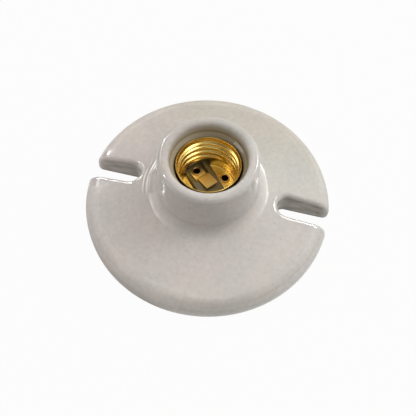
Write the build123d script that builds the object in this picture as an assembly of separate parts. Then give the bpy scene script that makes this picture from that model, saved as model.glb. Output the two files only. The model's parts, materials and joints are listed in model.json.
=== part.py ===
from build123d import *
import math
import os

# A porcelain lamp holder with a screw shell, fixed to a ceiling box by two open slots.
# Millimetres. The origin is the centre of the back face, +Z points out of the socket,
# and the mounting slots lie along X.

# Flange
flange_radius = 57.0
flange_edge_height = 9.2
flange_foot_height = 13.2
rim_rounding = 7.5
back_edge_rounding = 0.8

# Mounting slots, wider at the front than at the back
slot_reach = 32.5
slot_back_half_width = 3.7
slot_front_half_width = 5.4
slot_mouth_rounding = 3.2
slot_mouth_overrun = 0.35
slot_rim_rounding = 2.2

# Cup
cup_foot_radius = 23.2
cup_fillet = 6.0
lip_radius = 21.6
lip_height = 37.3
lip_outer_rounding = 2.1
lip_inner_rounding = 2.1
mouth_radius = 17.2
mouth_foot_radius = 16.5
mouth_depth = 5.0
ledge_depth = 1.8
ledge_rounding = 0.6

# Socket floor, as heights above the back face
pedestal_height = 14.0
lug_seat_height = 11.9
contact_seat_height = 11.4
lug_angle = 45.0

# Wiring recess in the back
recess_radius = 28.0
recess_draft = 0.8
recess_depth = 7.0
recess_rounding = 1.2

# Screw shell, drawn from sheet, with its lamp thread rolled outwards
shell_wall = 0.45
shell_radius = 12.35
shell_lip_height = 31.7
shell_lip_flare = 0.6
shell_lip_spread = 0.3
shell_collar_depth = 2.4
shell_bend = 0.7
thread_pitch = 3.63
thread_turns = 3
thread_depth = 1.0
thread_root_width = 2.6
thread_crest_width = 0.9
thread_run_in = 0.6
thread_cap = 0.02
lug_gap = 12.8
lug_height = 5.0
shell_turn = -4.0

# Centre contact, bent from strip
contact_thickness = 0.6
contact_width = 6.0
contact_foot_end = 13.2
contact_riser_foot = 5.6
contact_riser_head = 5.1
tongue_tip_reach = 2.1
tongue_lift = 0.3
tongue_rise = 1.4
contact_bend = 0.8
contact_turn = 5.0
channel_end = 4.4
channel_length = 9.4

# Hollow eyelets
eyelet_bore = 1.55
eyelet_tube = 2.0
eyelet_flange = 2.4
eyelet_flange_height = 0.5
eyelet_roll = 0.35
shell_eyelet_reach = 9.2
contact_eyelet_reach = 10.2

# Terminal plates and their screws
plate_thickness = 1.0
plate_width = 7.0
terminal_reach = 20.5
screw_radius = 2.05
screw_length = 6.0
screw_tip_chamfer = 0.4
screw_head_radius = 4.0
screw_head_height = 2.2
screw_head_rounding = 0.8
driver_slot_width = 1.2
driver_slot_depth = 1.1

# Clearances
cavity_clearance = 0.7
collar_clearance = 0.1
lug_clearance = 1.0
neck_clearance = 1.0
channel_clearance = 1.0
eyelet_clearance = 0.1
screw_clearance = 0.05
screw_pocket_clearance = 0.75

# Sizes that follow from those above
shell_collar_radius = shell_radius + thread_depth + collar_clearance
shell_lip_radius = shell_collar_radius + shell_wall + shell_lip_spread
cavity_radius = shell_lip_radius + cavity_clearance
neck_pocket_radius = shell_radius + shell_wall + neck_clearance
pedestal_width = lug_gap - 2 * lug_clearance
channel_width = contact_width + 2 * channel_clearance
eyelet_hole = eyelet_tube + eyelet_clearance
plate_back_height = recess_depth - plate_thickness
mouth_foot_height = lip_height - mouth_depth
ledge_foot_height = mouth_foot_height - ledge_depth
thread_flank = (thread_root_width - thread_crest_width) / (2 * thread_depth)
collar_foot_height = shell_lip_height - shell_collar_depth
collar_step_height = collar_foot_height - thread_flank * (shell_collar_radius - shell_radius)
thread_start_height = collar_foot_height + thread_run_in - thread_turns * thread_pitch

# The lugs lie along the turned X, and the contact along the turned Y.
socket_turn = Rot(0, 0, lug_angle)
neutral_eyelet_places = [(shell_eyelet_reach, 0), (-shell_eyelet_reach, 0)]
neutral_screw_place = (terminal_reach, 0)
line_eyelet_place = (0, contact_eyelet_reach)
line_screw_place = (0, terminal_reach)


def rounded_face(points, roundings):
    # A closed outline whose listed corners are rounded.
    face = make_face(Polyline(*points, close=True))
    for point, radius in roundings:
        corner = face.vertices().sort_by_distance(point)[0]
        face = fillet(corner, radius)
    return face


def turned(points, roundings):
    # A solid turned about Z from a half section in radius and height.
    return revolve(Plane.XZ * rounded_face(points, roundings), Axis.Z)


def upright(plan, low, high):
    # A plan outline made into a prism between two heights.
    return extrude(Pos(0, 0, low) * plan, high - low)


def slot_plan(half_width):
    # A U that runs out through the rim, with the corners of its mouth rounded.
    outside = 2 * flange_radius
    end_centre = slot_reach + half_width
    flare_half_width = half_width + slot_mouth_rounding
    corner_reach = flange_radius - slot_mouth_rounding + slot_mouth_overrun
    flare_start = math.sqrt(corner_reach**2 - flare_half_width**2)
    channel = Rectangle(outside, 2 * half_width, align=(Align.MIN, Align.CENTER))
    flare = Rectangle(outside, 2 * flare_half_width, align=(Align.MIN, Align.CENTER))
    corners = Locations((0, flare_half_width), (0, -flare_half_width))
    flare -= [place * Circle(slot_mouth_rounding) for place in corners]
    return Pos(end_centre, 0) * (Circle(half_width) + channel) + Pos(flare_start, 0) * flare


def slotted(body):
    # The body with both slots cut, their rims rounded in front, and the back's whole edge rounded.
    back_plan = slot_plan(slot_back_half_width)
    front_plan = Pos(0, 0, flange_foot_height) * slot_plan(slot_front_half_width)
    slot = loft([back_plan.face(), front_plan.face()], ruled=True)
    slots = [slot, Rot(0, 0, 180) * slot]
    cut_body = body - slots
    slot_edges = new_edges(body, *slots, combined=cut_body)
    rim_edges = slot_edges.filter_by_position(Axis.Z, back_edge_rounding, lip_height)
    cut_body = fillet(rim_edges, slot_rim_rounding)
    back_face = cut_body.faces().sort_by(Axis.Z)[0]
    return fillet(back_face.outer_wire().edges(), back_edge_rounding)


def porcelain_body():
    recess_roof_radius = recess_radius - recess_draft
    section = [
        (recess_radius, 0),
        (flange_radius, 0),
        (flange_radius, flange_edge_height),
        (cup_foot_radius, flange_foot_height),
        (lip_radius, lip_height),
        (mouth_radius, lip_height),
        (mouth_foot_radius, mouth_foot_height),
        (cavity_radius, ledge_foot_height),
        (cavity_radius, pedestal_height),
        (0, pedestal_height),
        (0, recess_depth),
        (recess_roof_radius, recess_depth),
    ]
    roundings = [
        ((recess_radius, 0), recess_rounding),
        ((flange_radius, flange_edge_height), rim_rounding),
        ((cup_foot_radius, flange_foot_height), cup_fillet),
        ((lip_radius, lip_height), lip_outer_rounding),
        ((mouth_radius, lip_height), lip_inner_rounding),
        ((mouth_foot_radius, mouth_foot_height), ledge_rounding),
        ((cavity_radius, ledge_foot_height), ledge_rounding),
        ((recess_roof_radius, recess_depth), recess_rounding),
    ]
    body = slotted(turned(section, roundings))

    lug_pockets = Circle(neck_pocket_radius) - Rectangle(pedestal_width, 2 * neck_pocket_radius)
    channel = Rectangle(channel_width, channel_length, align=(Align.CENTER, Align.MIN))
    body -= socket_turn * upright(lug_pockets, lug_seat_height, mouth_foot_height)
    body -= socket_turn * upright(Pos(0, channel_end) * channel, contact_seat_height, mouth_foot_height)

    for place in [*neutral_eyelet_places, line_eyelet_place]:
        body -= socket_turn * Pos(*place) * upright(Circle(eyelet_hole), recess_depth, pedestal_height)
    pocket_radius = screw_radius + screw_pocket_clearance
    pocket_roof = plate_back_height + screw_length + screw_pocket_clearance
    for place in [neutral_screw_place, line_screw_place]:
        body -= socket_turn * Pos(*place) * upright(Circle(pocket_radius), recess_depth, pocket_roof)
    return body


def thread_turn(root, spread, low, share):
    # A stretch of rolled thread, as a ridge on a root radius, wound up from a height.
    helix = Helix(thread_pitch, share * thread_pitch, root, center=(0, 0, low))
    half_root = thread_root_width / 2 + spread
    half_crest = thread_crest_width / 2 + spread
    ridge = [
        (-shell_wall, -half_root),
        (0, -half_root),
        (thread_depth, -half_crest),
        (thread_depth, half_crest),
        (0, half_root),
        (-shell_wall, half_root),
    ]
    across = Plane(origin=helix @ 0, x_dir=(1, 0, 0), z_dir=(0, -1, 0))
    return sweep(across * make_face(Polyline(*ridge, close=True)), path=helix, is_frenet=True)


def shell_core(growth, top):
    # What the shell's middle surface holds, grown or shrunk, and cut off at a height.
    half_wall = shell_wall / 2
    neck = shell_radius + half_wall
    collar = shell_collar_radius + half_wall
    lip = shell_lip_radius - half_wall
    middle_line = FilletPolyline(
        (-cavity_radius, lug_seat_height + half_wall),
        (neck, lug_seat_height + half_wall),
        (neck, collar_step_height),
        (collar, collar_foot_height),
        (collar, shell_lip_height - shell_lip_flare),
        (2 * lip - collar, shell_lip_height + shell_lip_flare),
        radius=shell_bend,
    )
    end = middle_line @ 1
    closing = Polyline(end, (-cavity_radius, end.Y), middle_line @ 0)
    face = offset(make_face(middle_line + closing), growth)
    window = Rectangle(2 * cavity_radius, top, align=(Align.MIN, Align.MIN))
    return revolve(Plane.XZ * (face & window), Axis.Z)


def screw_shell():
    # The thread swells the outside and, one wall further in, the inside.
    # Its first turn starts closed, and its last one runs out into the collar under the lip.
    spread = shell_wall * (math.hypot(1, thread_flank) - thread_flank)
    outer_radius = shell_radius + shell_wall
    cap_start = thread_start_height - thread_cap * thread_pitch
    cap = thread_turn(outer_radius, spread, cap_start, thread_cap)
    outside = shell_core(shell_wall / 2, shell_lip_height) + Rot(0, 0, -360 * thread_cap) * cap
    inside = shell_core(-shell_wall / 2, shell_lip_height + shell_lip_flare / 2)
    for turn in range(thread_turns):
        start = thread_start_height + turn * thread_pitch
        outside += thread_turn(outer_radius, spread, start, 1)
        inside += thread_turn(shell_radius, 0, start, 1)
    shell = outside - inside

    between_lugs = Rectangle(lug_gap, 2 * shell_lip_radius)
    lug_top_height = lug_seat_height + lug_height
    shell -= Rot(0, 0, shell_turn) * upright(between_lugs, 0, lug_top_height)
    for place in neutral_eyelet_places:
        shell -= Pos(*place) * upright(Circle(eyelet_hole), 0, lug_top_height)
    return socket_turn * shell


def centre_contact():
    half_thickness = contact_thickness / 2
    foot_height = contact_seat_height + half_thickness
    tongue_height = pedestal_height + tongue_lift + half_thickness
    path = FilletPolyline(
        (contact_foot_end, foot_height),
        (contact_riser_foot, foot_height),
        (contact_riser_head, tongue_height),
        (-tongue_tip_reach, tongue_height + tongue_rise),
        radius=contact_bend,
    )
    strip = extrude(Plane.YZ * trace(path, contact_thickness), contact_width / 2, both=True)
    strip = Pos(0, -contact_eyelet_reach) * strip
    strip -= upright(Circle(eyelet_hole), 0, pedestal_height)
    return socket_turn * Pos(*line_eyelet_place) * Rot(0, 0, contact_turn) * strip


def eyelet(place, upper_seat):
    # A tube whose two ends are rolled out over the pieces that it holds together.
    low = plate_back_height - eyelet_flange_height
    high = upper_seat + eyelet_flange_height
    section = [
        (eyelet_bore, low),
        (eyelet_flange, low),
        (eyelet_flange, plate_back_height),
        (eyelet_tube, plate_back_height),
        (eyelet_tube, upper_seat),
        (eyelet_flange, upper_seat),
        (eyelet_flange, high),
        (eyelet_bore, high),
    ]
    rolled = [(radius, height) for radius in (eyelet_bore, eyelet_flange) for height in (low, high)]
    tube = turned(section, [(corner, eyelet_roll) for corner in rolled])
    return socket_turn * Pos(*place) * tube


def terminal_plate(eyelet_places, screw_place):
    # A round-ended strip from the farthest eyelet to the terminal screw.
    start = Vector(*eyelet_places[-1])
    end = Vector(*screw_place)
    middle = (start + end) / 2
    turn = math.degrees(math.atan2(end.Y - start.Y, end.X - start.X))
    strip = SlotCenterToCenter((end - start).length, plate_width)
    outline = Pos(middle.X, middle.Y) * Rot(0, 0, turn) * strip
    for place in eyelet_places:
        outline -= Pos(*place) * Circle(eyelet_hole)
    outline -= Pos(*screw_place) * Circle(screw_radius + screw_clearance)
    return socket_turn * upright(outline, plate_back_height, recess_depth)


def terminal_screw(place):
    # A binding head that faces the back, with its shank up through the plate.
    head_low = plate_back_height - screw_head_height
    tip = plate_back_height + screw_length
    section = [
        (0, head_low),
        (screw_head_radius, head_low),
        (screw_head_radius, plate_back_height),
        (screw_radius, plate_back_height),
        (screw_radius, tip - screw_tip_chamfer),
        (screw_radius - screw_tip_chamfer, tip),
        (0, tip),
    ]
    screw = turned(section, [((screw_head_radius, head_low), screw_head_rounding)])
    driver_slot = Rectangle(2 * screw_head_radius, driver_slot_width)
    screw -= upright(driver_slot, head_low, head_low + driver_slot_depth)
    return socket_turn * Pos(*place) * screw


lug_floor_height = lug_seat_height + shell_wall
contact_foot_height = contact_seat_height + contact_thickness
nodes = {
    "porcelain_body": porcelain_body(),
    "screw_shell": screw_shell(),
    "centre_contact": centre_contact(),
    "shell_eyelets": Compound([eyelet(place, lug_floor_height) for place in neutral_eyelet_places]),
    "contact_eyelet": eyelet(line_eyelet_place, contact_foot_height),
    "neutral_plate": terminal_plate(neutral_eyelet_places, neutral_screw_place),
    "line_plate": terminal_plate([line_eyelet_place], line_screw_place),
    "neutral_terminal_screw": terminal_screw(neutral_screw_place),
    "line_terminal_screw": terminal_screw(line_screw_place),
}

os.makedirs("parts", exist_ok=True)
for name, solid in nodes.items():
    export_step(solid, f"parts/{name}.step")
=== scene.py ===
import json
import math

import bmesh
import bpy
from mathutils import Matrix, Quaternion, Vector

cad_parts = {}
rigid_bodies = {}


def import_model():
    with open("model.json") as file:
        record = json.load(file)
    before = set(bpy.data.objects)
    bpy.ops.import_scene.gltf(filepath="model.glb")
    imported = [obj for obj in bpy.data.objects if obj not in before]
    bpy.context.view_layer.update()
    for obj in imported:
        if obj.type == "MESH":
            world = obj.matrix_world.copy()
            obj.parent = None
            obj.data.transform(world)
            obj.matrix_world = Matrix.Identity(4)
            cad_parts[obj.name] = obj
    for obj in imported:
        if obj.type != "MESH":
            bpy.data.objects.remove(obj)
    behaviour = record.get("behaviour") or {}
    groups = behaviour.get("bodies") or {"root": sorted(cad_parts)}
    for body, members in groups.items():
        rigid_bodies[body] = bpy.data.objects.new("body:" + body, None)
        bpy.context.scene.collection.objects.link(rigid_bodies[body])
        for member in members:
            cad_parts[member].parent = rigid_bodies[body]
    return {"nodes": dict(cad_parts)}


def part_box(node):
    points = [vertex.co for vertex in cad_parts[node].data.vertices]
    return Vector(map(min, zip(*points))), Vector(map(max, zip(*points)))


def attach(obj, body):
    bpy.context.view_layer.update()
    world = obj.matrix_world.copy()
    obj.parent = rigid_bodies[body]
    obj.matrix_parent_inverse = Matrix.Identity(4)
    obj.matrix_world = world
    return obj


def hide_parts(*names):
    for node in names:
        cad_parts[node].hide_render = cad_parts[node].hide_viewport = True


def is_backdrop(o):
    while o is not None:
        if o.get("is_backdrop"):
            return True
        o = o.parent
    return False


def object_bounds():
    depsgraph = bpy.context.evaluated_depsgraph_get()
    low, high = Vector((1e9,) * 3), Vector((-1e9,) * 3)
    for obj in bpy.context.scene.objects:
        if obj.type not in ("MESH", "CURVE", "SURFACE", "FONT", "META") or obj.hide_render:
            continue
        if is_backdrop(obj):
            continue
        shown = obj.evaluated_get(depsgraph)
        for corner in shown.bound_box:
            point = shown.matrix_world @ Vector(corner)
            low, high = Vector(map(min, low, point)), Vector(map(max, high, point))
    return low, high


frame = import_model()
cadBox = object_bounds()
scene = bpy.context.scene
scene.view_settings.view_transform = "Standard"
print("frame loaded:", len(frame["nodes"]), "nodes")

mm = 0.001


# node helpers

def addNode(tree, kind, settings=None, inputs=None):
    node = tree.nodes.new(kind)
    for name, value in (settings or {}).items():
        setattr(node, name, value)
    for name, value in (inputs or {}).items():
        if isinstance(value, bpy.types.NodeSocket):
            tree.links.new(value, node.inputs[name])
        else:
            node.inputs[name].default_value = value
    return node


def math1(tree, operation, value):
    return addNode(tree, "ShaderNodeMath", {"operation": operation}, {0: value}).outputs[0]


def math2(tree, operation, first, second):
    return addNode(tree, "ShaderNodeMath", {"operation": operation}, {0: first, 1: second}).outputs[0]


def product(tree, first, *others):
    for other in others:
        first = math2(tree, "MULTIPLY", first, other)
    return first


def ramp(tree, value, fromLow, fromHigh, toLow=0.0, toHigh=1.0, smooth=True):
    settings = {"interpolation_type": "SMOOTHSTEP" if smooth else "LINEAR"}
    inputs = {"Value": value, "From Min": fromLow, "From Max": fromHigh, "To Min": toLow, "To Max": toHigh}
    return addNode(tree, "ShaderNodeMapRange", settings, inputs).outputs["Result"]


def noise(tree, vector, scale, detail=2.0, roughness=0.5, output="Fac"):
    inputs = {"Vector": vector, "Scale": scale, "Detail": detail, "Roughness": roughness}
    return addNode(tree, "ShaderNodeTexNoise", None, inputs).outputs[output]


def stretch(tree, vector, shares):
    node = addNode(tree, "ShaderNodeVectorMath", {"operation": "MULTIPLY"}, {0: vector, 1: shares})
    return node.outputs[0]


def blendColor(tree, share, first, second, mode="MIX"):
    node = addNode(tree, "ShaderNodeMix", {"data_type": "RGBA", "blend_type": mode})
    for index, value in ((0, share), (6, first), (7, second)):
        if isinstance(value, bpy.types.NodeSocket):
            tree.links.new(value, node.inputs[index])
        else:
            node.inputs[index].default_value = value
    return node.outputs[2]


def newMaterial(name):
    material = bpy.data.materials.new(name)
    material.use_nodes = True
    tree = material.node_tree
    tree.nodes.clear()
    shader = addNode(tree, "ShaderNodeBsdfPrincipled")
    addNode(tree, "ShaderNodeOutputMaterial", None, {"Surface": shader.outputs[0]})
    coords = addNode(tree, "ShaderNodeTexCoord").outputs["Object"]
    return material, tree, shader, coords


def findPlace(tree, coords):  # where a point lies, reach being its distance from the lamp's axis
    parts = addNode(tree, "ShaderNodeSeparateXYZ", None, {"Vector": coords}).outputs
    flat = addNode(tree, "ShaderNodeCombineXYZ", None, {"X": parts["X"], "Y": parts["Y"]}).outputs[0]
    reach = addNode(tree, "ShaderNodeVectorMath", {"operation": "LENGTH"}, {0: flat}).outputs["Value"]
    return {"side": parts["X"], "depth": parts["Y"], "height": parts["Z"], "reach": reach}


# porcelain finish: speckled glaze in front, bare fired clay behind
# a span of two values is a fade from the first to the second, and two more are what it fades between

porcelain = {
    # colour of the glaze
    "glazeWarm": (0.585, 0.545, 0.505, 1),
    "glazeCool": (0.545, 0.520, 0.495, 1),
    "mottleScale": 75.0,
    "mottleSpan": (0.35, 0.68),
    "patch": (0.40, 0.385, 0.37, 1),
    "patchScale": 26.0,
    "patchSpan": (0.34, 0.66, 0.0, 0.16),
    "driftScale": 16.0,
    "driftShare": 0.10,
    "fineScale": 520.0,
    "fineShare": 0.30,
    "leftTint": (1.06, 1.023, 1.03, 1),  # the glaze's hue shifts from side to side, and the right side is painted lighter: painted light
    "rightTintAndPaintedLight": (1.08, 1.10, 1.085, 1),
    "farTint": (1.0, 0.985, 0.93, 1),
    "tintSide": (-32 * mm, 38 * mm),
    "tintFar": (8 * mm, 50 * mm),
    "tintWander": 40 * mm,
    "wanderScale": 22.0,
    "lipPaintedShade": (0.88, 0.875, 0.86, 1),  # painted shade: the lip's top is painted darker and greyer on the far left
    "lipTop": (34.0 * mm, 36.5 * mm),
    "lipSide": (-14.0 * mm, 8.0 * mm),
    "rimReflectionBand": (46.0 * mm, 52.0 * mm, 0.0, 0.30),  # painted reflections: faint light and dark streaks along the rim
    "rimReflectionGrain": (420.0, 1.6),  # across and along
    "speck": (0.20, 0.175, 0.15, 1),
    "speckScale": 420.0,
    "speckSpan": (0.11, 0.044),
    "speckShare": 0.50,  # share of the cells that stay clear
    "speckDepth": 0.75,
    # painted shade on the walls of the slots, broken into streaks and deepest along their lower edge
    "slotShade": (0.24, 0.21, 0.175, 1),
    "slotShadeShare": 0.75,
    "slotStretch": (0.35, 1.0, 1.6),
    "slotStreakScale": 260.0,
    "slotStreakSpan": (0.35, 0.65, 0.3, 1.0),
    "slotFootShade": (2.2 * mm, 0.9 * mm, 0.0, 1.25),
    "slotDepth": (1.0 * mm, 2.4 * mm),  # below the flange's slope
    "slotSpan": (8.2 * mm, 7.4 * mm),
    "slotReach": (30.5 * mm, 31.5 * mm),
    "slotEnd": (56.0 * mm, 51.0 * mm),
    "slope": (23.2 * mm, 13.2 * mm, -4.0 / 33.8),  # the flange's foot, its height there and its fall
    # painted shade with a painted warm reflection of the brass, on the wall of the mouth and on the floor of
    # the socket
    "mouthShade": (0.36, 0.30, 0.20, 1),
    "mouthReach": (17.9 * mm, 17.0 * mm),
    "mouthHeight": (36.6 * mm, 32.4 * mm),
    "socketShade": (0.20, 0.15, 0.055, 1),
    "socketReach": (15.2 * mm, 14.6 * mm),
    "socketHeight": (31.5 * mm, 28.0 * mm),
    # bare clay on the back and in the wiring recess
    "clay": (0.66, 0.62, 0.56, 1),
    "clayDark": (0.52, 0.47, 0.40, 1),
    "cloudScale": 60.0,
    "cloudSpan": (0.40, 0.72, 0.0, 0.5),
    "grainScale": 900.0,
    "grainSpan": (0.52, 0.70, 0.0, 0.6),
    "clayRoughness": 0.72,
    "clayTooth": (2600.0, 0.3),  # scale and height
    "glazeLine": (0.4 * mm, 0.9 * mm),  # height above the back where the glaze begins
    "raggedScale": 160.0,
    "raggedHeight": 0.5 * mm,
    "recessWall": (28.4 * mm, 28.9 * mm),
    "recessRoof": (8.0 * mm, 8.4 * mm),
    # gloss: duller on parts of the rim, in the lip and round most of the cup's foot
    "sheenScale": 45.0,
    "sheenSpan": (0.3, 0.7, 0.07, 0.15),
    "rimDullness": 0.78,
    "rimReach": (49.9 * mm, 50.4 * mm),
    "rimFar": (5.0 * mm, 9.0 * mm),
    "rimSkew": 0.06,  # the dull stretch starts nearer to the slot on the right
    "rimNear": (-9.0 * mm, -15.0 * mm),
    "rimLeft": (10.0 * mm, -20.0 * mm),
    "lipDullness": 0.62,
    "lipFar": (3.5 * mm, 8.0 * mm),
    "lipInside": (19.6 * mm, 18.9 * mm),
    "lipHeight": (33.0 * mm, 35.0 * mm),
    "footDullness": 0.50,
    "footReach": (28.0 * mm, 26.0 * mm),
    "footHeight": (22.0 * mm, 18.0 * mm),
    "footSide": (10.0 * mm, -6.0 * mm),  # glossy on the far left only
    "footFar": (-13.0 * mm, -8.0 * mm),
    # relief
    "bumpDistance": 0.25 * mm,
    "bumpStrength": 0.6,
    "waves": (85.0, 1.0),  # scale and height
    "peel": (300.0, 0.45),
    "ripplePitch": 1.7 * mm,  # rings left round the cup's foot by the forming tool
    "rippleHeight": 0.3,
    "rippleReach": (31.5 * mm, 29.5 * mm),
    "rippleStart": (24.0 * mm, 26.0 * mm),
}


def speckMask(tree, look, coords):
    inputs = {"Vector": coords, "Scale": look["speckScale"]}
    cells = addNode(tree, "ShaderNodeTexVoronoi", None, inputs).outputs
    lot = addNode(tree, "ShaderNodeSeparateColor", None, {"Color": cells["Color"]}).outputs["Red"]
    chosen = math2(tree, "GREATER_THAN", lot, look["speckShare"])
    return product(tree, chosen, ramp(tree, cells["Distance"], *look["speckSpan"]), look["speckDepth"])


# painted shade: darkens the slots' walls in streaks, most along their lower edge
def slotShadeMask(tree, look, coords, place):
    reach = place["reach"]
    foot, footHeight, fall = look["slope"]
    slope = product(tree, math2(tree, "SUBTRACT", reach, foot), fall)
    below = math2(tree, "SUBTRACT", math2(tree, "ADD", slope, footHeight), place["height"])
    aside = math1(tree, "ABSOLUTE", place["depth"])
    edges = ((below, "slotDepth"), (aside, "slotSpan"), (reach, "slotReach"), (reach, "slotEnd"))
    inSlot = product(tree, *[ramp(tree, value, *look[span]) for value, span in edges])
    stretched = stretch(tree, coords, look["slotStretch"])
    streaks = ramp(tree, noise(tree, stretched, look["slotStreakScale"], 4.0), *look["slotStreakSpan"])
    streaks = math2(tree, "MAXIMUM", streaks, ramp(tree, place["height"], *look["slotFootShade"]))
    return product(tree, inSlot, streaks, look["slotShadeShare"])


def glazeColor(tree, look, coords, place, specks):
    mottle = ramp(tree, noise(tree, coords, look["mottleScale"], 3.0), *look["mottleSpan"])
    glaze = blendColor(tree, mottle, look["glazeCool"], look["glazeWarm"])
    patches = ramp(tree, noise(tree, coords, look["patchScale"]), *look["patchSpan"])
    glaze = blendColor(tree, patches, glaze, look["patch"])
    drift = noise(tree, coords, look["driftScale"], output="Color")
    glaze = blendColor(tree, look["driftShare"], glaze, drift, "SOFT_LIGHT")

    wander = math2(tree, "SUBTRACT", noise(tree, coords, look["wanderScale"]), 0.5)
    wander = product(tree, wander, look["tintWander"])
    # painted light: towards the right the glaze is painted lighter as well as tinted
    rightward = ramp(tree, math2(tree, "ADD", place["side"], wander), *look["tintSide"])
    tint = blendColor(tree, rightward, look["leftTint"], look["rightTintAndPaintedLight"])
    farther = ramp(tree, math2(tree, "ADD", place["depth"], wander), *look["tintFar"])
    tint = blendColor(tree, farther, tint, look["farTint"])
    glaze = blendColor(tree, 1.0, glaze, tint, "MULTIPLY")
    # painted shade on the far left of the lip's top
    farLeft = ramp(tree, math2(tree, "SUBTRACT", place["depth"], place["side"]), *look["lipSide"])
    shadedLip = product(tree, ramp(tree, place["height"], *look["lipTop"]), farLeft)
    glaze = blendColor(tree, shadedLip, glaze, look["lipPaintedShade"], "MULTIPLY")
    fine = noise(tree, coords, look["fineScale"], 3.0)
    glaze = blendColor(tree, look["fineShare"], glaze, fine, "SOFT_LIGHT")

    # painted reflections: light and dark streaks swept round the rim
    across, along = look["rimReflectionGrain"]
    swept = addNode(tree, "ShaderNodeCombineXYZ", None, {
        "X": product(tree, place["reach"], across),
        "Y": product(tree, math2(tree, "ARCTAN2", place["depth"], place["side"]), along),
        "Z": product(tree, place["height"], across),
    })
    reflectedOnRim = ramp(tree, place["reach"], *look["rimReflectionBand"])
    glaze = blendColor(tree, reflectedOnRim, glaze, noise(tree, swept.outputs[0], 1.0, 3.0), "SOFT_LIGHT")

    glaze = blendColor(tree, specks, glaze, look["speck"])
    # painted shade in the slots
    glaze = blendColor(tree, slotShadeMask(tree, look, coords, place), glaze, look["slotShade"])
    # painted shade and painted brass reflection in the mouth and in the socket
    for zone in ("mouth", "socket"):
        within = product(tree, ramp(tree, place["reach"], *look[zone + "Reach"]),
                         ramp(tree, place["height"], *look[zone + "Height"]))
        glaze = blendColor(tree, within, glaze, look[zone + "Shade"])
    return glaze


def clayColor(tree, look, coords, specks):
    clay = look["clay"]
    for layer in ("cloud", "grain"):
        uneven = noise(tree, coords, look[layer + "Scale"], 4.0, 0.6)
        clay = blendColor(tree, ramp(tree, uneven, *look[layer + "Span"]), clay, look["clayDark"])
    return blendColor(tree, specks, clay, look["speck"])


def glazeMask(tree, look, coords, place):  # off the back face and out of the wiring recess
    ragged = product(tree, noise(tree, coords, look["raggedScale"]), look["raggedHeight"])
    offBack = ramp(tree, math2(tree, "ADD", place["height"], ragged), *look["glazeLine"])
    offWall = ramp(tree, place["reach"], *look["recessWall"])
    offRoof = ramp(tree, place["height"], *look["recessRoof"])
    return product(tree, offBack, math2(tree, "MAXIMUM", offWall, offRoof))


def glazeRoughness(tree, look, coords, place, glossyFoot):
    dullFoot = product(tree, ramp(tree, place["reach"], *look["footReach"]),
                       ramp(tree, place["height"], *look["footHeight"]))
    dullFoot = product(tree, dullFoot, math2(tree, "SUBTRACT", 1.0, glossyFoot))
    skewed = math2(tree, "ADD", place["depth"], product(tree, place["side"], look["rimSkew"]))
    nearLeft = product(tree, ramp(tree, place["depth"], *look["rimNear"]),
                       ramp(tree, place["side"], *look["rimLeft"]))
    dullRim = math2(tree, "MAXIMUM", nearLeft, ramp(tree, skewed, *look["rimFar"]))
    dullRim = product(tree, dullRim, ramp(tree, place["reach"], *look["rimReach"]))
    dullLip = math2(tree, "MAXIMUM", ramp(tree, place["depth"], *look["lipFar"]),
                    ramp(tree, place["reach"], *look["lipInside"]))
    dullLip = product(tree, dullLip, ramp(tree, place["height"], *look["lipHeight"]))
    dull = 0.0
    for mask, name in ((dullFoot, "footDullness"), (dullRim, "rimDullness"), (dullLip, "lipDullness")):
        dull = math2(tree, "MAXIMUM", dull, product(tree, mask, look[name]))
    sheen = ramp(tree, noise(tree, coords, look["sheenScale"]), *look["sheenSpan"])
    return math2(tree, "ADD", sheen, dull)


def surfaceRelief(tree, look, coords, reach, glossyFoot, bare):
    layers = []
    for name, detail in (("waves", 1.0), ("peel", 1.0), ("clayTooth", 2.0)):
        scale, height = look[name]
        layers.append(product(tree, noise(tree, coords, scale, detail), height))
    layers[-1] = product(tree, layers[-1], bare)
    rings = math1(tree, "SINE", product(tree, reach, math.tau / look["ripplePitch"]))
    atFoot = product(tree, ramp(tree, reach, *look["rippleReach"]), ramp(tree, reach, *look["rippleStart"]))
    layers.append(product(tree, rings, atFoot, glossyFoot, look["rippleHeight"]))
    relief = layers[0]
    for layer in layers[1:]:
        relief = math2(tree, "ADD", relief, layer)
    return relief


def porcelainFinish(look):
    material, tree, shader, coords = newMaterial("glazedPorcelain")
    place = findPlace(tree, coords)
    glazed = glazeMask(tree, look, coords, place)
    bare = math2(tree, "SUBTRACT", 1.0, glazed)
    glossyFoot = product(tree, ramp(tree, place["side"], *look["footSide"]),
                         ramp(tree, place["depth"], *look["footFar"]))
    specks = speckMask(tree, look, coords)
    color = blendColor(tree, glazed, clayColor(tree, look, coords, specks),
                       glazeColor(tree, look, coords, place, specks))
    tree.links.new(color, shader.inputs["Base Color"])
    sheen = product(tree, glazeRoughness(tree, look, coords, place, glossyFoot), glazed)
    rough = math2(tree, "ADD", sheen, product(tree, bare, look["clayRoughness"]))
    tree.links.new(rough, shader.inputs["Roughness"])
    bump = addNode(tree, "ShaderNodeBump", None, {
        "Strength": look["bumpStrength"],
        "Distance": look["bumpDistance"],
        "Height": surfaceRelief(tree, look, coords, place["reach"], glossyFoot, bare),
    })
    tree.links.new(bump.outputs[0], shader.inputs["Normal"])
    return material


# metal wear, shared by every metal: smudges, fine drawing lines and tarnish

wearLook = {
    "tarnishScale": 240.0,
    "tarnishSpan": (0.48, 0.72),
    "drawnOut": (1.0, 1.0, 0.06),  # the drawing lines run along the lamp's axis
    "lineDepth": 0.02 * mm,
}


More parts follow.
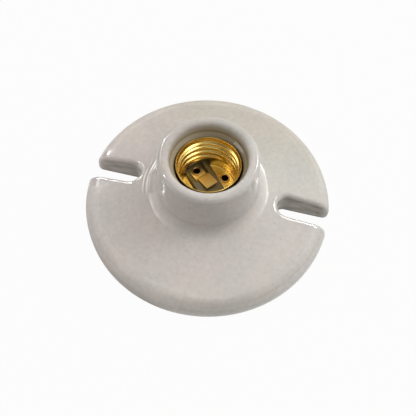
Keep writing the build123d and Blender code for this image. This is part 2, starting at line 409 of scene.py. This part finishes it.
def metalWearGroup(look):
    group = bpy.data.node_groups.new("metalWear", "ShaderNodeTree")
    face = group.interface
    face.new_socket("Coordinates", in_out="INPUT", socket_type="NodeSocketVector")
    for name, start in (("Roughness", 0.2), ("Smudge", 0.1), ("Smudge Scale", 150.0), ("Line Scale", 1500.0)):
        face.new_socket(name, in_out="INPUT", socket_type="NodeSocketFloat").default_value = start
    for name in ("Roughness", "Tarnish", "Height"):
        face.new_socket(name, in_out="OUTPUT", socket_type="NodeSocketFloat")
    inlet = addNode(group, "NodeGroupInput").outputs
    coords = inlet["Coordinates"]
    smudges = noise(group, coords, inlet["Smudge Scale"], 4.0, 0.6)
    centred = math2(group, "SUBTRACT", smudges, 0.5)
    rough = math2(group, "ADD", inlet["Roughness"], math2(group, "MULTIPLY", centred, inlet["Smudge"]))
    tarnish = ramp(group, noise(group, coords, look["tarnishScale"], 5.0, 0.65), *look["tarnishSpan"])
    lines = noise(group, stretch(group, coords, look["drawnOut"]), inlet["Line Scale"])
    addNode(group, "NodeGroupOutput", None, {"Roughness": rough, "Tarnish": tarnish, "Height": lines})
    return group


metalWear = metalWearGroup(wearLook)


def metalFinish(look):
    material, tree, shader, coords = newMaterial(look["name"])
    wear = addNode(tree, "ShaderNodeGroup", {"node_tree": metalWear}, {
        "Coordinates": coords,
        "Roughness": look["roughness"],
        "Smudge": look["smudge"],
        "Smudge Scale": look["smudgeScale"],
        "Line Scale": look["lineScale"],
    })
    dulled = math2(tree, "MULTIPLY", wear.outputs["Tarnish"], look["tarnishShare"])
    if "grooveSpan" in look:  # dirt gathers in the bottom of the thread
        groove = ramp(tree, findPlace(tree, coords)["reach"], *look["grooveSpan"])
        dulled = math2(tree, "MAXIMUM", dulled, groove)
    color = blendColor(tree, dulled, look["bright"], look["tarnished"])
    tree.links.new(color, shader.inputs["Base Color"])
    tree.links.new(wear.outputs["Roughness"], shader.inputs["Roughness"])
    bump = addNode(tree, "ShaderNodeBump", None, {
        "Strength": look["lineStrength"],
        "Distance": wearLook["lineDepth"],
        "Height": wear.outputs["Height"],
    })
    tree.links.new(bump.outputs[0], shader.inputs["Normal"])
    shader.inputs["Metallic"].default_value = look["metallic"]
    shader.inputs["Specular IOR Level"].default_value = look["specular"]
    return material


shellBrass = {
    "name": "shellBrass",
    "bright": (0.95, 0.70, 0.22, 1),
    "tarnished": (0.54, 0.31, 0.06, 1),
    "tarnishShare": 0.04,
    "grooveSpan": (12.95 * mm, 13.55 * mm, 0.0, 0.45),
    "roughness": 0.25,
    "smudge": 0.08,
    "smudgeScale": 170.0,
    "lineScale": 1600.0,
    "lineStrength": 0.04,
    "metallic": 1.0,
    "specular": 0.5,
}
contactBrass = {
    "name": "contactBrass",
    "bright": (0.97, 0.74, 0.30, 1),
    "tarnished": (0.55, 0.34, 0.09, 1),
    "tarnishShare": 0.15,
    "roughness": 0.34,
    "smudge": 0.2,
    "smudgeScale": 260.0,
    "lineScale": 2200.0,
    "lineStrength": 0.2,
    "metallic": 1.0,
    "specular": 0.5,
}
screwBrass = dict(contactBrass, name="screwBrass", roughness=0.24, tarnishShare=0.2)
screwPlating = dict(
    contactBrass,
    name="screwPlating",
    bright=(0.72, 0.70, 0.66, 1),
    tarnished=(0.42, 0.39, 0.34, 1),
    roughness=0.22,
    tarnishShare=0.2,
)
# browner brass for the eyelets, painted darker as well to stand in for shade round their rims
eyeletBrassAndShade = dict(
    contactBrass,
    name="eyeletBrassAndShade",
    bright=(0.70, 0.46, 0.17, 1),
    tarnished=(0.34, 0.19, 0.05, 1),
    tarnishShare=0.6,
)
# painted shade: a near-black finish for the eyelets' bores, where only shade falls
boreShade = dict(
    contactBrass,
    name="boreShade",
    bright=(0.010, 0.007, 0.005, 1),
    tarnished=(0.004, 0.003, 0.002, 1),
    roughness=0.8,
    metallic=0.0,
    specular=0.0,
)

finishes = {
    "glazed_porcelain": porcelainFinish(porcelain),
    "shell_brass": metalFinish(shellBrass),
    "contact_brass": metalFinish(contactBrass),
    "brass_screw": metalFinish(screwBrass),
    "plated_screw": metalFinish(screwPlating),
    "eyelet": metalFinish(eyeletBrassAndShade),
    "bore": metalFinish(boreShade),
}
print("finishes made:", ", ".join(finishes))


# pieces

mending = {
    "mergeReach": 0.002 * mm,  # corners of the solids' triangles that are one point
    "flatAngle": 0.4,  # triangles of one flat side
    "sharpAngle": 35,  # edges that stay sharp in the shading and get softened
}


def settle(piece):  # turn the live modifiers into plain mesh
    bpy.context.view_layer.update()
    shaped = piece.evaluated_get(bpy.context.evaluated_depsgraph_get())
    mesh = bpy.data.meshes.new_from_object(shaped)
    piece.modifiers.clear()
    piece.data = mesh


def newPiece(name, bm):
    mesh = bpy.data.meshes.new(name)
    bm.to_mesh(mesh)
    bm.free()
    piece = bpy.data.objects.new(name, mesh)
    scene.collection.objects.link(piece)
    return piece


def softenEdges(piece, width):
    bevel = piece.modifiers.new("edges", "BEVEL")
    bevel.width = width
    bevel.segments = 2
    bevel.limit_method = "ANGLE"
    bevel.angle_limit = math.radians(mending["sharpAngle"])
    bevel.use_clamp_overlap = True


def smoothFaces(piece):
    piece.data.polygons.foreach_set("use_smooth", [True] * len(piece.data.polygons))
    piece.data.set_sharp_from_angle(angle=math.radians(mending["sharpAngle"]))
    weights = piece.modifiers.new("normals", "WEIGHTED_NORMAL")
    weights.keep_sharp = True


def dress(piece, bodyName, slotName, nodeName):
    piece.data.materials.clear()
    piece.data.materials.append(finishes[slotName])
    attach(piece, bodyName)
    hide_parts(nodeName)


def nodeShape(nodeName):  # a merged copy of a solid, with its flat sides whole again
    mesh = frame["nodes"][nodeName].data.copy()
    if "custom_normal" in mesh.attributes:
        mesh.attributes.remove(mesh.attributes["custom_normal"])
    bm = bmesh.new()
    bm.from_mesh(mesh)
    bpy.data.meshes.remove(mesh)
    bmesh.ops.remove_doubles(bm, verts=bm.verts, dist=mending["mergeReach"])
    flat = math.radians(mending["flatAngle"])
    bmesh.ops.dissolve_limit(bm, angle_limit=flat, verts=bm.verts, edges=bm.edges)
    return bm


body = frame["nodes"]["porcelain_body"]
body.data.materials.clear()
body.data.materials.append(finishes["glazed_porcelain"])
print("porcelain body dressed")


screwShell = {
    "wall": 0.45 * mm,
    "innerRadius": 12.35 * mm,
    "collarRadius": 13.45 * mm,
    "collarFoot": 29.3 * mm,
    "collarStep": 28.37 * mm,
    "lipRadius": 14.2 * mm,
    "lipFlare": 0.6 * mm,
    "lipHeight": 31.7 * mm,
    "footBend": 0.7 * mm,
    "collarBend": 0.3 * mm,
    "threadPitch": 3.63 * mm,
    "threadTurns": 3,
    "threadDepth": 1.0 * mm,
    "threadFlank": (0.0, 1.0),  # share of the rounded profile that is flank
    "threadEnd": 29.9 * mm,  # the thread runs out in the collar
    "threadRunout": 0.14,  # share of a turn over which its start fades
    "lugGap": 12.8 * mm,
    "lugHeight": 5.0 * mm,
    "socketTurn": 45.0,
    "lugTurn": -4.0,
    "eyeletReach": 9.2 * mm,
    "eyeletHole": 2.1 * mm,
    "punchDepth": 4.0 * mm,
    "edge": 0.1 * mm,
    "steps": 160,
    "bendSteps": 6,
    "holeSteps": 48,
    "longestEdge": 0.2 * mm,  # up the wall
    "mergeReach": 0.001 * mm,
    "wallSpare": 0.01 * mm,
    "cutReach": 0.0001 * mm,
}


def fade(value, low, high):
    share = min(max((value - low) / (high - low), 0.0), 1.0)
    return share * share * (3 - 2 * share)


def threadSwell(spec, angle, height):  # how far the rolled thread stands out at a place on the wall
    turn = angle / math.tau
    along = (height - spec["threadEnd"]) / spec["threadPitch"] + spec["threadTurns"] - turn
    nearest = round(along)
    travelled = nearest + turn
    if travelled > spec["threadTurns"]:
        return 0
    start = fade(travelled, 0, spec["threadRunout"])
    wave = 0.5 + 0.5 * math.cos(math.tau * (along - nearest))
    return start * spec["threadDepth"] * fade(wave, *spec["threadFlank"])


def buildScrewShell(spec):
    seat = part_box("screw_shell")[0].z
    half = spec["wall"] / 2
    wallRadius = spec["innerRadius"] + half
    collarRadius = spec["collarRadius"] + half
    bm = bmesh.new()
    outline = [
        (0, seat + half),
        (wallRadius, seat + half),
        (wallRadius, spec["collarStep"]),
        (collarRadius, spec["collarFoot"]),
        (collarRadius, spec["lipHeight"] - spec["lipFlare"]),
        (spec["lipRadius"] - half, spec["lipHeight"] - half / 2),
    ]
    corners = [bm.verts.new((radius, 0, height)) for radius, height in outline]
    for first, second in zip(corners, corners[1:]):
        bm.edges.new((first, second))
    for bent, offset in ((corners[1:2], spec["footBend"]), (corners[2:5], spec["collarBend"])):
        bmesh.ops.bevel(bm, geom=bent, offset=offset, offset_type="OFFSET", segments=spec["bendSteps"],
                        profile=0.5, affect="VERTICES", material=-1)
    for edge in bm.edges[:]:
        cuts = int(edge.calc_length() / spec["longestEdge"])
        if cuts:
            bmesh.ops.subdivide_edges(bm, edges=[edge], cuts=cuts)
    bmesh.ops.spin(bm, geom=bm.verts[:] + bm.edges[:], cent=(0, 0, 0), axis=(0, 0, 1), dvec=(0, 0, 0),
                   angle=math.tau, steps=spec["steps"], use_merge=True)
    bmesh.ops.remove_doubles(bm, verts=bm.verts, dist=spec["mergeReach"])
    bmesh.ops.recalc_face_normals(bm, faces=bm.faces)

    for vert in bm.verts:  # roll the thread
        radius = vert.co.xy.length
        if radius > wallRadius - spec["wallSpare"]:
            angle = math.atan2(vert.co.y, vert.co.x) % math.tau
            scale = max(1, (wallRadius + threadSwell(spec, angle, vert.co.z)) / radius)
            vert.co.x *= scale
            vert.co.y *= scale

    across = Matrix.Rotation(math.radians(spec["lugTurn"]), 3, "Z") @ Vector((1, 0, 0))
    lugTop = seat + spec["lugHeight"]
    up = Vector((0, 0, 1))
    lines = [(across * spec["lugGap"] / 2, across), (-across * spec["lugGap"] / 2, across), (up * lugTop, up)]
    for point, normal in lines:
        everything = bm.verts[:] + bm.edges[:] + bm.faces[:]
        bmesh.ops.bisect_plane(bm, geom=everything, dist=spec["cutReach"], plane_co=point, plane_no=normal)
    between = []  # the foot is cut away between the two lugs
    for face in bm.faces:
        centre = face.calc_center_median()
        if centre.z < lugTop and abs(centre.dot(across)) < spec["lugGap"] / 2:
            between.append(face)
    bmesh.ops.delete(bm, geom=between, context="FACES")
    turn = Matrix.Rotation(math.radians(spec["socketTurn"]), 3, "Z")
    bmesh.ops.rotate(bm, verts=bm.verts, cent=(0, 0, 0), matrix=turn)
    shell = newPiece("screwShell", bm)

    punches = bmesh.new()  # the holes that the eyelets pass through
    for side in (1, -1):
        place = turn @ Vector((side * spec["eyeletReach"], 0, seat))
        bmesh.ops.create_cone(punches, cap_ends=True, segments=spec["holeSteps"], radius1=spec["eyeletHole"],
                              radius2=spec["eyeletHole"], depth=spec["punchDepth"],
                              matrix=Matrix.Translation(place))
    punch = newPiece("eyeletPunch", punches)
    solid = shell.modifiers.new("wall", "SOLIDIFY")
    solid.thickness = spec["wall"]
    solid.offset = 0
    solid.use_even_offset = True
    holes = shell.modifiers.new("holes", "BOOLEAN")
    holes.object = punch
    holes.solver = "EXACT"
    softenEdges(shell, spec["edge"])
    settle(shell)
    bpy.data.objects.remove(punch)
    smoothFaces(shell)
    dress(shell, "holder", "shell_brass", "screw_shell")


buildScrewShell(screwShell)
print("screw shell rolled")


eyeletBore = {"radius": 1.55 * mm, "spare": 0.06 * mm}


def islands(bm):  # groups of joined vertices
    waiting = set(bm.verts)
    while waiting:
        group = set()
        front = [waiting.pop()]
        while front:
            vert = front.pop()
            group.add(vert)
            found = [link.other_vert(vert) for link in vert.link_edges if link.other_vert(vert) in waiting]
            waiting.difference_update(found)
            front.extend(found)
        yield group


def darkenBores(piece):  # an eyelet is painted browner and darker than the plates, partly as painted shade round its rolled rim, and its inside is painted near black as painted shade
    piece.data.materials[0] = finishes["eyelet"]
    piece.data.materials.append(finishes["bore"])
    bm = bmesh.new()
    bm.from_mesh(piece.data)
    for island in islands(bm):
        low = [min(vert.co[axis] for vert in island) for axis in range(2)]
        high = [max(vert.co[axis] for vert in island) for axis in range(2)]
        axisPoint = Vector(((low[0] + high[0]) / 2, (low[1] + high[1]) / 2))
        for face in {face for vert in island for face in vert.link_faces}:
            reach = max((vert.co.xy - axisPoint).length for vert in face.verts)
            if reach < eyeletBore["radius"] + eyeletBore["spare"]:
                face.material_index = 1
    bm.to_mesh(piece.data)
    bm.free()


smallPieces = {
    "centreContact": dict(node="centre_contact", body="holder", slot="contact_brass", edge=0.09 * mm),
    "shellEyelets": dict(node="shell_eyelets", body="holder", slot="contact_brass", hollow=True),
    "contactEyelet": dict(node="contact_eyelet", body="holder", slot="contact_brass", hollow=True),
    "neutralPlate": dict(node="neutral_plate", body="holder", slot="contact_brass", edge=0.12 * mm),
    "linePlate": dict(node="line_plate", body="holder", slot="contact_brass", edge=0.12 * mm),
    "neutralScrew": dict(node="neutral_terminal_screw", body="neutral_screw", slot="plated_screw",
                         edge=0.1 * mm),
    "lineScrew": dict(node="line_terminal_screw", body="line_screw", slot="brass_screw", edge=0.1 * mm),
}

for name, spec in smallPieces.items():
    piece = newPiece(name, nodeShape(spec["node"]))
    if "edge" in spec:
        softenEdges(piece, spec["edge"])
        settle(piece)
    smoothFaces(piece)
    dress(piece, spec["body"], spec["slot"], spec["node"])
    if "hollow" in spec:
        darkenBores(piece)
print("small metal pieces made:", len(smallPieces))


# floor, light and camera

floorLook = {
    "size": 3.0,
    "drop": 0.05 * mm,
    "color": (0.50, 0.49, 0.48, 1),
    "whiteShare": 0.96,  # share of plain white laid over the shaded floor
    "recessReach": 29.0 * mm,  # the floor is open under the wiring recess
    "contactGap": 0.5 * mm,  # and to what rests on it
}


def buildFloor(look):
    bm = bmesh.new()
    bmesh.ops.create_grid(bm, x_segments=1, y_segments=1, size=look["size"] / 2)
    bmesh.ops.translate(bm, verts=bm.verts, vec=(0, 0, -look["drop"]))
    floor = newPiece("floor", bm)
    material = bpy.data.materials.new("paleFloor")
    material.use_nodes = True
    tree = material.node_tree
    tree.nodes.clear()
    coords = addNode(tree, "ShaderNodeTexCoord").outputs["Object"]
    reach = addNode(tree, "ShaderNodeVectorMath", {"operation": "LENGTH"}, {0: coords}).outputs["Value"]
    light = addNode(tree, "ShaderNodeLightPath").outputs
    behind = addNode(tree, "ShaderNodeNewGeometry").outputs["Backfacing"]
    matte = addNode(tree, "ShaderNodeBsdfDiffuse", None, {"Color": look["color"]}).outputs[0]
    white = addNode(tree, "ShaderNodeEmission", None, {"Color": (1, 1, 1, 1), "Strength": 1.0}).outputs[0]
    inRecess = math2(tree, "LESS_THAN", reach, look["recessReach"])
    mirrored = math2(tree, "MAXIMUM", light["Is Glossy Ray"], light["Is Transmission Ray"])
    seen = math2(tree, "MAXIMUM", light["Is Camera Ray"], mirrored)
    outside = math2(tree, "SUBTRACT", 1.0, inRecess)
    share = product(tree, seen, outside, look["whiteShare"])
    top = addNode(tree, "ShaderNodeMixShader", None, {0: share, 1: matte, 2: white}).outputs[0]
    clear = addNode(tree, "ShaderNodeBsdfTransparent").outputs[0]
    touching = math2(tree, "LESS_THAN", light["Ray Length"], look["contactGap"])
    under = math2(tree, "MAXIMUM", inRecess, touching)
    passing = product(tree, under, math2(tree, "SUBTRACT", 1.0, light["Is Camera Ray"]))
    hidden = math2(tree, "MAXIMUM", passing, behind)
    shown = addNode(tree, "ShaderNodeMixShader", None, {0: hidden, 1: top, 2: clear}).outputs[0]
    addNode(tree, "ShaderNodeOutputMaterial", None, {"Surface": shown})
    floor.data.materials.append(material)
    floor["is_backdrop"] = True


buildFloor(floorLook)

roomLight = {
    "color": (1.0, 0.99, 0.975, 1),
    "base": 0.21,
    "overhead": {"azimuth": 46, "elevation": 60, "edge": 0.28, "level": 1.46},
    "glossShare": 0.72,
}


def direction(azimuth, elevation):  # azimuth runs clockwise from the far side, seen from above
    turn = math.radians(azimuth)
    rise = math.radians(elevation)
    return Vector((math.sin(turn) * math.cos(rise), math.cos(turn) * math.cos(rise), math.sin(rise)))


def buildRoom(look):
    world = bpy.data.worlds.new("studio")
    world.use_nodes = True
    tree = world.node_tree
    tree.nodes.clear()
    light = addNode(tree, "ShaderNodeLightPath").outputs
    aim = addNode(tree, "ShaderNodeTexCoord").outputs["Generated"]
    overhead = look["overhead"]
    centre = direction(overhead["azimuth"], overhead["elevation"])
    facing = addNode(tree, "ShaderNodeVectorMath", {"operation": "DOT_PRODUCT"}, {0: aim, 1: centre})
    level = ramp(tree, facing.outputs["Value"], overhead["edge"], 1.0, look["base"], overhead["level"])
    mirrored = math2(tree, "MAXIMUM", light["Is Glossy Ray"], light["Is Transmission Ray"])
    gain = ramp(tree, mirrored, 0.0, 1.0, 1.0, look["glossShare"], smooth=False)
    soft = addNode(tree, "ShaderNodeBackground", None,
                   {"Color": look["color"], "Strength": product(tree, level, gain)})
    white = addNode(tree, "ShaderNodeBackground", None, {"Color": (1, 1, 1, 1), "Strength": 1.0})
    inputs = {0: light["Is Camera Ray"], 1: soft.outputs[0], 2: white.outputs[0]}
    mixed = addNode(tree, "ShaderNodeMixShader", None, inputs)
    addNode(tree, "ShaderNodeOutputWorld", None, {"Surface": mixed.outputs[0]})
    scene.world = world


buildRoom(roomLight)

# lamps: aim is azimuth and elevation, distances and sizes are in metres
# shown in glaze or metal: a highlight on that finish alone; shade: light and shadow without a highlight
lamps = {
    "farLeftStrip": dict(aim=(-35, 22), distance=0.8, size=(0.13, 0.36), radiance=20, shownIn="glaze"),
    "cornerStrip": dict(aim=(-50, 23), distance=0.8, size=(0.12, 0.26), radiance=18, shownIn="glaze"),
    "farRightStrip": dict(aim=(20, 25), distance=0.8, size=(0.13, 0.36), radiance=20, shownIn="glaze"),
    "rightStrip": dict(aim=(44, 38), distance=0.7, size=(0.14, 0.26), radiance=16, shownIn="glaze"),
    "leftStrip": dict(aim=(-60, 40), distance=0.7, size=(0.20, 0.19), radiance=5.5, shownIn="glaze"),
    "leftSpot": dict(aim=(-91, 44.5), distance=0.7, size=(0.05, 0.07), radiance=240, shownIn="glaze"),
    "window": dict(aim=(61, 35), distance=0.8, size=(0.3, 0.3), radiance=4.2, shownIn="shade"),
    "leftFill": dict(aim=(-102, 12), distance=0.8, size=(0.6, 0.4), radiance=2.5, shownIn=None),
    "leftCard": dict(aim=(-95, 42), distance=0.7, size=(0.35, 0.4), radiance=2.0, shownIn="metal"),
    "rightCard": dict(aim=(105, 42), distance=0.7, size=(0.35, 0.4), radiance=3.2, shownIn="metal"),
    "frontCard": dict(aim=(175, 25), distance=0.7, size=(0.5, 0.2), radiance=1.0, shownIn="metal"),
    "underFill": dict(aim=(150, -65), distance=0.5, size=(0.3, 0.3), radiance=8.0, shownIn=None),
}

lit = {name: bpy.data.collections.new(name + "Lit") for name in ("glaze", "metal")}
for piece in scene.objects:
    if piece.type == "MESH":
        lit["glaze" if piece == body else "metal"].objects.link(piece)


def buildLamp(name, spec):
    away = direction(*spec["aim"])
    data = bpy.data.lights.new(name, "AREA")
    data.shape = "RECTANGLE"
    data.size, data.size_y = spec["size"]
    data.energy = spec["radiance"] * math.pi * data.size * data.size_y
    lamp = bpy.data.objects.new(name, data)
    lamp.location = away * spec["distance"]
    lamp.rotation_euler = (-away).to_track_quat("-Z", "Y").to_euler()
    if spec["shownIn"] == "shade":
        lamp.visible_glossy = False
    elif spec["shownIn"]:
        lamp.visible_diffuse = False
        lamp.light_linking.receiver_collection = lit[spec["shownIn"]]
    scene.collection.objects.link(lamp)


for name, spec in lamps.items():
    buildLamp(name, spec)

viewpoint = {
    "azimuth": 12.5,
    "elevation": 60.6,
    "roll": 1.6,
    "distance": 250.0 * mm,
    "lens": 45.26,
    "shift": (0.001, -0.0185),
    "nearest": 10.0 * mm,
}


def buildCamera(spec):
    back = direction(180 - spec["azimuth"], spec["elevation"])
    data = bpy.data.cameras.new("photoView")
    data.lens = spec["lens"]
    data.shift_x, data.shift_y = spec["shift"]
    data.clip_start = spec["nearest"]
    camera = bpy.data.objects.new("photoView", data)
    camera.location = back * spec["distance"]
    turn = (-back).to_track_quat("-Z", "Y") @ Quaternion((0, 0, 1), math.radians(spec["roll"]))
    camera.rotation_euler = turn.to_euler()
    scene.collection.objects.link(camera)
    scene.camera = camera


buildCamera(viewpoint)
print("floor, lamps and camera placed")

boxes = {"cad": cadBox, "visual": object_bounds()}
{name: [list(corner) for corner in box] for name, box in boxes.items()}
